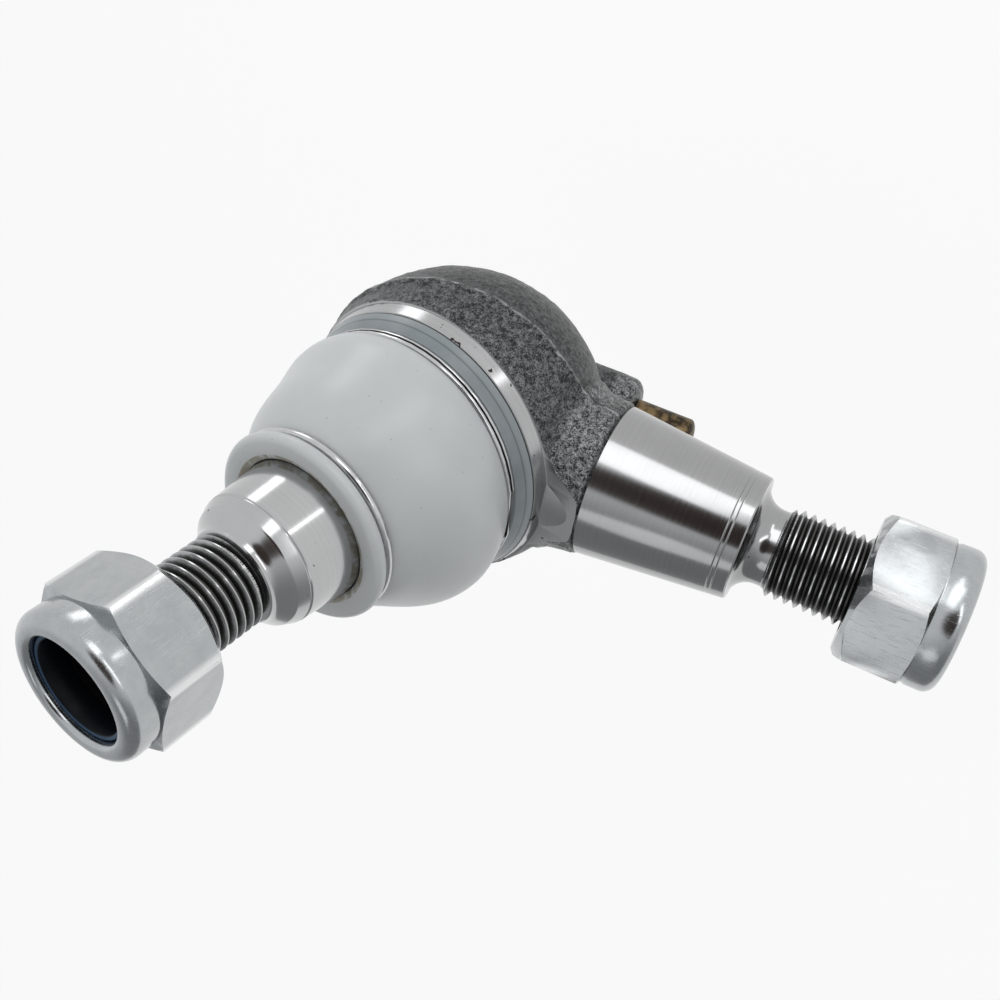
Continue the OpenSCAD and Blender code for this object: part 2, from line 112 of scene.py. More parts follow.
class Bench:
    """Modelling moves that several pieces share, each made with Blender's operators."""

    @staticmethod
    def hold(*objects: bpy.types.Object) -> bpy.types.Object:
        """Selects only these objects and makes the first one active.

        Args:
            objects: The objects that the next operator acts on.

        Returns:
            The first object.
        """
        bpy.ops.object.select_all(action="DESELECT")
        for obj in objects:
            obj.select_set(True)
        bpy.context.view_layer.objects.active = objects[0]
        return objects[0]

    @staticmethod
    def add(name: str, data: bpy.types.ID) -> bpy.types.Object:
        """Puts a new object with this data into the scene."""
        obj = bpy.data.objects.new(name, data)
        bpy.context.scene.collection.objects.link(obj)
        return obj

    @staticmethod
    def begin(name: str, finish: "Finish") -> bpy.types.Object:
        """Names a primitive that was just added and gives it its finish.

        Args:
            name: Name of the piece.
            finish: Finish of the whole piece.

        Returns:
            The new object.
        """
        obj = bpy.context.object
        obj.name = obj.data.name = name
        obj.data.materials.append(finish.material())
        return Bench.hold(obj)

    @staticmethod
    def freeze(obj: bpy.types.Object) -> bpy.types.Object:
        """Works an object's place, turn and scale into its mesh."""
        Bench.hold(obj)
        bpy.ops.object.transform_apply(location=True, rotation=True, scale=True)
        return obj

    @staticmethod
    def point(
        name: str, finish: "Finish", place: tuple[float, float, float]
    ) -> bpy.types.Object:
        """Starts a piece as one vertex and leaves it in edit mode.

        Args:
            name: Name of the piece.
            finish: Finish of the whole piece.
            place: Place of the vertex, in mm.

        Returns:
            The new object.
        """
        bpy.ops.mesh.primitive_plane_add(size=1)
        obj = Bench.begin(name, finish)
        bpy.ops.object.mode_set(mode="EDIT")
        bpy.ops.mesh.select_all(action="SELECT")
        bpy.ops.mesh.merge(type="CENTER")
        bpy.ops.transform.translate(value=place)
        return obj

    @staticmethod
    def weld(gap: float) -> None:
        """Merges the points of the edited mesh that lie closer than a gap, in mm."""
        bpy.ops.mesh.select_all(action="SELECT")
        bpy.ops.mesh.remove_doubles(threshold=gap)

    @staticmethod
    def turned(
        name: str, profile: Sequence[Point], finish: "Finish", steps: int = 96
    ) -> bpy.types.Object:
        """Draws a half profile by extruding one vertex, then spins it about Z.

        Args:
            name: Name of the piece.
            profile: Radius and height of each point; a ring ends where it begins.
            finish: Finish of the whole piece.
            steps: Number of flats round the axis.

        Returns:
            The turned solid, with closed seams and outward faces.
        """
        obj = Bench.point(name, finish, (profile[0][0], 0, profile[0][1]))
        for (r0, z0), (r1, z1) in pairwise(profile):
            move = {"value": (r1 - r0, 0, z1 - z0)}
            bpy.ops.mesh.extrude_region_move(TRANSFORM_OT_translate=move)
        Bench.weld(MERGE_GAP)
        bpy.ops.mesh.select_all(action="SELECT")
        bpy.ops.mesh.spin(
            steps=steps, angle=FULL_TURN, center=(0, 0, 0), axis=(0, 0, 1)
        )
        Bench.weld(MERGE_GAP)
        bpy.ops.mesh.dissolve_degenerate(threshold=MERGE_GAP)
        bpy.ops.mesh.normals_make_consistent(inside=False)
        bpy.ops.object.mode_set(mode="OBJECT")
        return obj

    @staticmethod
    def apply(obj: bpy.types.Object, kind: str, **settings: object) -> None:
        """Adds a modifier with these settings and applies it at once.

        Args:
            obj: The object that takes it.
            kind: Blender's name for the type of modifier.
            settings: Values of the modifier's own settings.
        """
        modifier = obj.modifiers.new(kind.lower(), kind)
        for key, value in settings.items():
            setattr(modifier, key, value)
        Bench.hold(obj)
        bpy.ops.object.modifier_apply(modifier=modifier.name)

    @staticmethod
    def cut(target: bpy.types.Object, tool: bpy.types.Object, how: str) -> None:
        """Joins, subtracts or intersects a tool solid, which is then used up.

        Args:
            target: The solid that stays.
            tool: The solid that works on it.
            how: UNION, DIFFERENCE or INTERSECT.
        """
        Bench.apply(
            target,
            "BOOLEAN",
            operation=how,
            solver="EXACT",
            object=tool,
            material_mode="TRANSFER",
        )
        bpy.data.objects.remove(tool)

    @staticmethod
    def onto_shank(obj: bpy.types.Object) -> bpy.types.Object:
        """Lays what stands on Z along the shank, with +X away from the stud."""
        obj.rotation_euler = (0, math.pi / 2 + SHANK_SLOPE, 0)
        return Bench.freeze(obj)

    @staticmethod
    def sharpen_borders(obj: bpy.types.Object) -> None:
        """Marks the edges where two finishes meet as sharp."""
        Bench.hold(obj)
        bpy.ops.object.mode_set(mode="EDIT")
        for index in range(len(obj.material_slots)):
            bpy.ops.mesh.select_all(action="DESELECT")
            obj.active_material_index = index
            bpy.ops.object.material_slot_select()
            bpy.ops.mesh.region_to_loop()
            bpy.ops.mesh.mark_sharp()
        bpy.ops.object.mode_set(mode="OBJECT")

    @staticmethod
    def done(
        obj: bpy.types.Object,
        body: str,
        slot: str,
        nodes: Iterable[str] = (),
        smooth: float = 32,
    ) -> bpy.types.Object:
        """Scales a finished mesh to metres, smooths it and hangs it on its body.

        Args:
            obj: The finished piece, in mm.
            body: Name of the body that it rides on; empty to hang it on no body.
            slot: The record's material slot; it is not used.
            nodes: CAD nodes that it stands for.
            smooth: Edges up to this angle are shaded smooth, in degrees.

        Returns:
            The piece.
        """
        obj.scale = (METRES_PER_MM,) * 3
        Bench.freeze(obj)
        bpy.ops.object.shade_smooth_by_angle(angle=math.radians(smooth))
        if body:
            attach(obj, body)
        if nodes:
            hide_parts(*nodes)
        LOG.info("%s: %d faces", obj.name, len(obj.data.polygons))
        return obj


class Graph:
    """Adds and joins the nodes of one material or of the world."""

    def __init__(self, tree: bpy.types.NodeTree) -> None:
        """Keeps the tree that the nodes go into."""
        self.tree = tree
        self.place: bpy.types.NodeSocket | None = None

    def add(
        self, kind: str, settings: dict[str, object] | None = None, **inputs: object
    ) -> bpy.types.Node:
        """Adds a node, with its settings and with values or links on its inputs.

        Args:
            kind: Blender's name for the type of node, without its ShaderNode.
            settings: Values of the node's own settings.
            inputs: Values or sockets for its inputs; _ stands for a space.

        Returns:
            The new node.
        """
        node = self.tree.nodes.new(f"ShaderNode{kind}")
        for key, value in (settings or {}).items():
            setattr(node, key, value)
        for key, value in inputs.items():
            self.plug(node.inputs[key.replace("_", " ")], value)
        return node

    def plug(self, socket: bpy.types.NodeSocket, value: object) -> None:
        """Links a socket to another, or sets its value."""
        if isinstance(value, bpy.types.NodeSocket):
            self.tree.links.new(value, socket)
        else:
            socket.default_value = value

    def math(self, how: str, *values: object) -> object:
        """Adds a Math node.

        Args:
            how: Blender's name for the operation.
            values: Numbers or sockets, in the node's order.

        Returns:
            The node's output socket.
        """
        node = self.add("Math", {"operation": how})
        for socket, value in zip(node.inputs, values, strict=False):
            self.plug(socket, value)
        return node.outputs[0]

    def times(self, value: object, factor: object, plus: object = None) -> object:
        """Multiplies, and adds a third value where one is given."""
        if plus is None:
            return self.math("MULTIPLY", value, factor)
        return self.math("MULTIPLY_ADD", value, factor, plus)

    def apart(self, value: object, other: float) -> object:
        """Gives the distance between two values."""
        return self.math("ABSOLUTE", self.math("SUBTRACT", value, other))

    def step(self, value: object, low: float, high: float) -> object:
        """Adds a smooth step that is 0 below low and 1 above high.

        Args:
            value: The socket that it reads.
            low: Where it leaves 0.
            high: Where it reaches 1.

        Returns:
            The node's output socket.
        """
        kind = {"interpolation_type": "SMOOTHSTEP"}
        node = self.add("MapRange", kind, From_Min=low, From_Max=high)
        self.plug(node.inputs[0], value)
        return node.outputs[0]

    def mix(self, share: object, first: object, second: object) -> object:
        """Mixes two colours.

        Args:
            share: Share of the second colour, a number or a socket.
            first: A colour or a socket.
            second: A colour or a socket.

        Returns:
            The node's colour socket.
        """
        node = self.add("Mix", {"data_type": "RGBA"})
        self.plug(node.inputs["Factor"], share)
        self.plug(node.inputs[6], first)
        self.plug(node.inputs[7], second)
        return node.outputs[2]

    def coordinates(self, on_shank: bool) -> None:
        """Reads the place on the piece in mm, turned onto the shank's axis if asked.

        Args:
            on_shank: Whether Z runs along the shank in place of the stud.
        """
        turn = -(math.pi / 2 + SHANK_SLOPE) if on_shank else 0.0
        source = self.add("TexCoord").outputs["Object"]
        node = self.add("Mapping", Vector=source, Rotation=(0, turn, 0))
        scaled = self.add("VectorMath", {"operation": "SCALE"}, Scale=1 / METRES_PER_MM)
        self.plug(scaled.inputs[0], node.outputs[0])
        self.place = scaled.outputs[0]

    def radius_and_height(self) -> tuple[object, object]:
        """Splits the place into its distance from the axis and its height, in mm."""
        parts = self.add("SeparateXYZ", Vector=self.place).outputs
        flat = self.add("CombineXYZ", X=parts[0], Y=parts[1])
        length = self.add("VectorMath", {"operation": "LENGTH"})
        self.plug(length.inputs[0], flat.outputs[0])
        return length.outputs["Value"], parts[2]

    def noise(
        self,
        size: float,
        detail: float = 3,
        rough: float = 0.55,
        stretch: tuple[float, float, float] | None = None,
    ) -> object:
        """Adds a noise whose blobs are about one size across.

        Args:
            size: Size of the blobs, in mm.
            detail: Number of finer layers.
            rough: Weight of the finer layers.
            stretch: Scale of the pattern along each axis, or None.

        Returns:
            The socket that gives 0 to 1.
        """
        place = self.place
        if stretch is not None:
            place = self.add("Mapping", Vector=place, Scale=stretch).outputs[0]
        node = self.add(
            "TexNoise", Vector=place, Scale=1 / size, Detail=detail, Roughness=rough
        )
        return node.outputs[0]

    def rings(self, size: float) -> object:
        """Adds turning marks: a noise that changes along and across the axis only.

        Args:
            size: Width of a mark, in mm.

        Returns:
            The socket that gives 0 to 1.
        """
        along = self.math("ADD", *self.radius_and_height())
        node = self.add(
            "TexNoise", {"noise_dimensions": "1D"}, W=along, Scale=1 / size, Detail=2
        )
        return node.outputs[0]

    def bump(self, height: object, depth: float, after: object = None) -> object:
        """Adds a bump from a height that runs from 0 to 1.

        Args:
            height: The socket that gives the height.
            depth: Depth of the bump, in mm.
            after: An earlier bump's normal, or None.

        Returns:
            The socket that gives the normal.
        """
        far = depth * METRES_PER_MM
        node = self.add("Bump", Strength=1.0, Distance=far, Height=height)
        if after is not None:
            self.plug(node.inputs["Normal"], after)
        return node.outputs[0]


@dataclass(frozen=True)
class Finish:
    """A finish that builds its material once and hands it out after that."""

    label: str
    on_shank: bool = False
    metallic: float = 1.0
    specular: float = 0.5
    scattering: float = 0.0

    def material(self) -> bpy.types.Material:
        """Finds or builds the material.

        Returns:
            The material of this finish.
        """
        found = bpy.data.materials.get(self.label)
        if found is not None:
            return found
        made = bpy.data.materials.new(self.label)
        made.use_nodes = True
        graph = Graph(made.node_tree)
        graph.coordinates(self.on_shank)
        values = {
            "Metallic": self.metallic,
            "Specular IOR Level": self.specular,
            "Subsurface Weight": self.scattering,
            "Subsurface Radius": (1.0, 1.0, 0.95),
            "Subsurface Scale": 0.0012,
        }
        names = ("Base Color", "Roughness", "Normal")
        values |= dict(zip(names, self.dress(graph), strict=False))
        shader = made.node_tree.nodes["Principled BSDF"]
        for key, value in values.items():
            graph.plug(shader.inputs[key], value)
        return made

    def dress(self, graph: Graph) -> tuple[object, ...]:
        """Wires the pattern of this finish.

        Args:
            graph: The material's nodes, where the place is read already.

        Returns:
            The sockets of the base colour, the roughness and, if any, the normal.
        """
        raise NotImplementedError


@dataclass(frozen=True)
class ForgedSteel(Finish):
    """Grainy forging with a parting line, blasted brighter towards the shank, with a
    painted highlight and painted shade along the line.
    """

    label: str = "forging_skin"
    on_shank: bool = True
    dark: Color = (0.02, 0.021, 0.022, 1)
    pale: Color = (0.23, 0.237, 0.241, 1)
    blasted_and_highlight: Color = (0.4, 0.41, 0.415, 1)
    lower_pale: Color = (0.17, 0.174, 0.177, 1)
    neck_at: Point = (21.2, 22.4)
    lower_at: Point = (0.9, 1.7)
    crest_at: float = 0.75
    shade_at: float = 1.35
    scale_w: float = 0.7

    def dress(self, graph: Graph) -> tuple[object, ...]:
        """Wires the grain, the two halves of the forging, its ridge with a painted
        highlight and painted shade beside it, and the neck.
        """
        across = graph.add("SeparateXYZ", Vector=graph.place).outputs
        coarse = graph.noise(0.9, 5, 0.72)
        fine = graph.noise(0.24, 3, 0.6)
        wide = graph.noise(5, 3)
        speck = graph.step(graph.times(fine, 0.5, graph.times(coarse, 0.5)), 0.4, 0.66)
        neck = graph.step(graph.times(wide, 3.0, across[2]), *self.neck_at)
        ragged = graph.times(graph.noise(2.2, 4), 1.4, across[0])
        raw, smooth, bright = (
            graph.mix(speck, self.dark, tone)
            for tone in (self.pale, self.lower_pale, self.blasted_and_highlight)
        )
        skin = graph.mix(graph.step(ragged, *self.lower_at), raw, smooth)
        skin = graph.mix(neck, skin, bright)
        # Painted highlight: a broken bright line on the ridge's crest; painted shade: a
        # dark line beside it.
        broken = graph.step(graph.noise(1.5, 3, 0.6), 0.4, 0.6)
        near = graph.step(graph.apart(ragged, self.crest_at), 0.34, 0.1)
        crest_highlight = graph.times(graph.times(near, broken), 0.7)
        shade = graph.step(graph.apart(ragged, self.shade_at), 0.32, 0.1)
        lit = graph.mix(crest_highlight, skin, self.blasted_and_highlight)
        color = graph.mix(graph.times(shade, 0.55), lit, self.dark)
        scales = graph.add("TexVoronoi", Vector=graph.place, Scale=1 / self.scale_w)
        normal = graph.bump(coarse, 0.2)
        normal = graph.bump(scales.outputs["Distance"], 0.05, normal)
        return color, graph.times(fine, 0.3, 0.22), graph.bump(fine, 0.12, normal)


@dataclass(frozen=True)
class TurnedSteel(Finish):
    """Bright steel with the fine rings of a lathe."""

    label: str = "lathe_stud"
    tone: float = 0.31
    spread: float = 0.06
    gloss: float = 0.16
    depth: float = 0.0012
    pit: float = 0.6
    pitted: float = 0.775

    def dress(self, graph: Graph) -> tuple[object, ...]:
        """Wires the rings, a slow change of tone and a few dark specks."""
        rings = graph.rings(0.22)
        wide = graph.noise(6, 3)
        low, high = self.tone - self.spread, self.tone + self.spread
        tone = graph.mix(
            graph.times(rings, 0.5, graph.times(wide, 0.5)),
            (low, low * 1.005, low * 1.02, 1),
            (high, high * 1.005, high * 1.01, 1),
        )
        specks = graph.noise(self.pit, 2, 0.4)
        specks = graph.step(specks, self.pitted, self.pitted + 0.015)
        color = graph.mix(specks, tone, (0.05, 0.042, 0.038, 1))
        rough = graph.times(rings, 0.1, self.gloss - 0.05)
        return color, rough, graph.bump(rings, self.depth)


@dataclass(frozen=True)
class ThreadedSteel(Finish):
    """Cut thread with a painted highlight on its crests and painted shade in its roots.
    """

    label: str = "thread_stud"
    root_r: float = THREAD_ROOT_R
    crest_r: float = 6.95

    def dress(self, graph: Graph) -> tuple[object, ...]:
        """Wires the change from painted shade at the root to painted highlight at the
        crest.
        """
        radius, _ = graph.radius_and_height()
        # The pale crests and the lifted patches on the flanks are painted highlights; the
        # near-black roots are painted shade.
        lifted = graph.times(graph.noise(1.4, 4, 0.65), 0.5, radius)
        crest_highlight = graph.step(lifted, self.root_r + 0.6, self.crest_r + 0.24)
        color = graph.mix(crest_highlight, (0.07, 0.068, 0.066, 1), (0.4, 0.404, 0.408, 1))
        rough = graph.times(crest_highlight, -0.14, 0.34)
        return color, rough, graph.bump(graph.noise(0.4), 0.01)


@dataclass(frozen=True)
class ShadedBore(Finish):
    """Threads of a nut, painted near black as the shade inside the bore."""

    label: str = "bore_painted_shade"
    metallic: float = 0.0
    specular: float = 0.1

    def dress(self, graph: Graph) -> tuple[object, ...]:
        """Wires a faint unevenness in the painted shade."""
        grease_and_shade_film = graph.noise(1.2, 3)
        # The near-black tone is painted shade inside the bore.
        tone = graph.mix(grease_and_shade_film, (0.002, 0.002, 0.002, 1), (0.01, 0.01, 0.011, 1))
        return tone, graph.times(grease_and_shade_film, 0.2, 0.5)


@dataclass(frozen=True)
class ZincPlate(Finish):
    """Bright plating with soft clouds, hair scratches and a painted highlight on the
    corners.
    """

    label: str = "plating_stud"
    corner_at: Point = (12.1, 12.6)

    def dress(self, graph: Graph) -> tuple[object, ...]:
        """Wires the clouds, the scratches, the painted highlight on the corners and a
        faint ripple.
        """
        radius, _ = graph.radius_and_height()
        cloud = graph.noise(2.6, 5, 0.68)
        scratch = graph.step(graph.noise(0.22, 3, 0.6, (1.5, 1.5, 0.07)), 0.6, 0.66)
        tone = graph.mix(cloud, (0.33, 0.35, 0.36, 1), (0.52, 0.535, 0.54, 1))
        # The lighter hexagon corners are a painted highlight; the scratches add a little
        # real wear.
        corner_highlight_and_scratches = graph.step(radius, *self.corner_at)
        corner_highlight_and_scratches = graph.times(corner_highlight_and_scratches, 0.75, graph.times(scratch, 0.1))
        color = graph.mix(corner_highlight_and_scratches, tone, (0.86, 0.87, 0.87, 1))
        rough = graph.times(scratch, 0.1, graph.times(cloud, 0.16, 0.12))
        ripple = graph.bump(graph.noise(2.0, 2), 0.012)
        return color, rough, graph.bump(scratch, 0.002, ripple)


@dataclass(frozen=True)
class Silicone(Finish):
    """Milky boot, steel-grey where it is thin over the cup's collar."""

    label: str = "silicone"
    metallic: float = 0.0
    scattering: float = 0.12
    foot_z: float = 12.4
    seam_r: float = 21.3
    rim_r: float = 21.6
    greasy: float = 0.0

    def dress(self, graph: Graph) -> tuple[object, ...]:
        """Wires the foot with its seam, a few specks and a film of grease."""
        radius, height = graph.radius_and_height()
        milk = graph.mix(
            graph.noise(9, 2), (0.5, 0.52, 0.525, 1), (0.57, 0.59, 0.59, 1)
        )
        grey = graph.mix(
            graph.noise(5, 3), (0.15, 0.175, 0.185, 1), (0.27, 0.3, 0.315, 1)
        )
        rim = graph.step(radius, self.seam_r, self.rim_r)
        edge = graph.mix(rim, grey, (0.25, 0.28, 0.29, 1))
        seam = graph.step(graph.apart(radius, self.seam_r), 0.08, 0.02)
        lined = graph.mix(graph.times(seam, 0.55), edge, (0.05, 0.055, 0.06, 1))
        foot = graph.step(height, self.foot_z, self.foot_z - 0.5)
        grease_and_shade_film = graph.times(graph.step(graph.noise(1.4, 3), 0.3, 0.6), self.greasy)
        tone = graph.mix(grease_and_shade_film, graph.mix(foot, milk, lined), (0.24, 0.21, 0.14, 1))
        specks = graph.times(graph.step(graph.noise(0.6, 1, 0.3), 0.785, 0.8), 0.5)
        color = graph.mix(specks, tone, (0.25, 0.25, 0.25, 1))
        rough = graph.times(graph.noise(6, 3), 0.05, 0.27)
        return color, rough, graph.bump(graph.noise(1.6, 2), 0.003)


@dataclass(frozen=True)
class SpringWire(Finish):
    """Bright drawn wire with fine draw marks."""

    label: str = "drawn_wire"
    gap_z: float = 13.058
    deep_r: float = 20.3

    def dress(self, graph: Graph) -> tuple[object, ...]:
        """Wires the draw marks and the painted shade between the turns and on the wire's
        inner side.
        """
        radius, height = graph.radius_and_height()
        marks = graph.noise(0.35, 2, 0.5, (0.4, 0.4, 2.0))
        tone = graph.mix(marks, (0.42, 0.425, 0.43, 1), (0.66, 0.665, 0.67, 1))
        # The near-black tone between the turns and on the side facing the boot is painted
        # shade.
        between = graph.step(graph.apart(height, self.gap_z), 0.26, 0.12)
        behind = graph.times(graph.step(radius, self.deep_r, self.deep_r - 0.25), 0.9)
        gap_shade = graph.math("MAXIMUM", between, behind)
        color = graph.mix(gap_shade, tone, (0.02, 0.02, 0.02, 1))
        return color, graph.times(marks, 0.12, 0.1), graph.bump(marks, 0.004)


@dataclass(frozen=True)
class BrownedSteel(Finish):
    """Dowel pin with a mottled golden-brown skin."""

    label: str = "browned_steel"
    on_shank: bool = True
    metallic: float = 0.85

    def dress(self, graph: Graph) -> tuple[object, ...]:
        """Wires the mottled tones."""
        blotch = graph.noise(1.7, 5, 0.7)
        share = graph.step(blotch, 0.38, 0.62)
        tone = graph.mix(share, (0.03, 0.021, 0.013, 1), (0.2, 0.14, 0.07, 1))
        rough = graph.times(blotch, 0.25, 0.28)
        return tone, rough, graph.bump(graph.noise(0.5, 3), 0.03)


@dataclass(frozen=True)
class Moulded(Finish):
    """Moulded plastic with a faint grain."""

    label: str = "seat_moulding"
    metallic: float = 0.0
    dark: Color = (0.62, 0.58, 0.5, 1)
    pale: Color = (0.72, 0.69, 0.6, 1)
    gloss: float = 0.35

    def dress(self, graph: Graph) -> tuple[object, ...]:
        """Wires the two tones and the grain."""
        cloud = graph.noise(1.5, 3)
        rough = graph.times(cloud, 0.15, self.gloss)
        color = graph.mix(cloud, self.dark, self.pale)
        return color, rough, graph.bump(graph.noise(0.3), 0.006)


@dataclass(frozen=True)
class Nylon(Moulded):
    """Blue nylon, with painted shade near black on the side of the thread."""

    label: str = "nylon_stud"
    specular: float = 0.12
    dark: Color = (0.018, 0.045, 0.09, 1)
    pale: Color = (0.04, 0.08, 0.14, 1)
    gloss: float = 0.3
    inner_shade_at: Point = (7.3, 7.16)

    def dress(self, graph: Graph) -> tuple[object, ...]:
        """Wires the painted shade of the inside over the cloudy blue."""
        blue, *rest = super().dress(graph)
        radius, _ = graph.radius_and_height()
        # The near-black inner wall is painted shade.
        inside = graph.step(radius, *self.inner_shade_at)
        return graph.mix(inside, blue, (0.002, 0.003, 0.005, 1)), *rest


FORGED = ForgedSteel()
STUD_STEEL = TurnedSteel(tone=0.47)
SHANK_STEEL = TurnedSteel(label="lathe_shank", on_shank=True, tone=0.36)
RIM_STEEL = TurnedSteel(
    label="lathe_rim", tone=0.42, gloss=0.2, depth=0.002, pit=1.6, pitted=0.69
)
BORE = ShadedBore()
STUD_THREAD = ThreadedSteel()
SHANK_THREAD = ThreadedSteel(label="thread_shank", on_shank=True)
STUD_ZINC = ZincPlate()
SHANK_ZINC = ZincPlate(label="plating_shank", on_shank=True)
BOOT_SILICONE = Silicone()
GREASY_SILICONE = Silicone(label="silicone_greasy", greasy=0.85)
LARGE_WIRE = SpringWire()
SMALL_WIRE = SpringWire(label="drawn_wire_small", gap_z=0.0, deep_r=14.05)
PIN_STEEL = BrownedSteel()
STUD_NYLON = Nylon()
SHANK_NYLON = Nylon(label="nylon_shank", on_shank=True)
SEAT_PLASTIC = Moulded()


@dataclass
class Thread:
    """A 14 mm screw thread: a ridge wound round its core. Sizes in mm."""

    start: float
    end: float
    finish: Finish
    pitch: float = 1.5
    root_r: float = THREAD_ROOT_R
    crest_r: float = 7.0
    root_half: float = 0.625
    crest_half: float = 0.1
    sunk: float = 0.18
    run_out: float = 0.6
    end_bevel: float = 1.0
    over: float = 0.4
    foot: float = 0.4

    def build(self) -> bpy.types.Object:
        """Winds the ridge, trims its ends and joins it to its core.

        Returns:
            The threaded solid, standing on Z.
        """
        ridge = self.ridge()
        rise, inside = self.crest_r - self.root_r, 0.1
        run_in = (self.over + inside + rise) * self.run_out / rise
        outer = self.crest_r + self.over
        envelope = Bench.turned(
            "thread_envelope",
            [(0, self.start), (self.root_r - inside, self.start)]
            + [(outer, self.start + run_in)]
            + [(outer, self.end - self.end_bevel - self.over)]
            + [(self.crest_r - self.end_bevel, self.end), (0, self.end)],
            self.finish,
        )
        Bench.cut(ridge, envelope, "INTERSECT")
        low = self.start - self.foot
        core = Bench.turned(
            "thread_core",
            [(0, low), (self.root_r - 0.3, low), (self.root_r, self.start)]
            + [(self.root_r, self.end - 0.08), (self.root_r - inside, self.end)]
            + [(0, self.end)],
            self.finish,
        )
        Bench.cut(core, ridge, "UNION")
        return core

    def ridge(self) -> bpy.types.Object:
        """Winds one closed ridge by the Screw modifier.

        Returns:
            The ridge, with both ends capped.
        """
        deep = self.root_r - self.sunk
        wide = self.root_half + self.sunk * 0.57
        low = self.start - self.pitch - wide
        ridge = Bench.point("thread_ridge", self.finish, (deep, 0, low))
        outline = [
            (self.crest_r - deep, 0, wide - self.crest_half),
            (0, 0, 2 * self.crest_half),
            (deep - self.crest_r, 0, wide - self.crest_half),
            (0, 0, -2 * wide),
        ]
        for move in outline:
            bpy.ops.mesh.extrude_region_move(TRANSFORM_OT_translate={"value": move})
        Bench.weld(1e-3)
        bpy.ops.object.mode_set(mode="OBJECT")
        turns = math.ceil((self.end - self.start) / self.pitch) + 2
        Bench.apply(
            ridge,
            "SCREW",
            axis="Z",
            screw_offset=self.pitch,
            iterations=turns,
            steps=48,
            render_steps=48,
            angle=FULL_TURN,
            use_merge_vertices=False,
        )
        bpy.ops.object.mode_set(mode="EDIT")
        Bench.weld(MERGE_GAP)
        bpy.ops.mesh.select_all(action="SELECT")
        bpy.ops.mesh.fill_holes(sides=4)
        bpy.ops.mesh.normals_make_consistent(inside=False)
        bpy.ops.object.mode_set(mode="OBJECT")
        return ridge


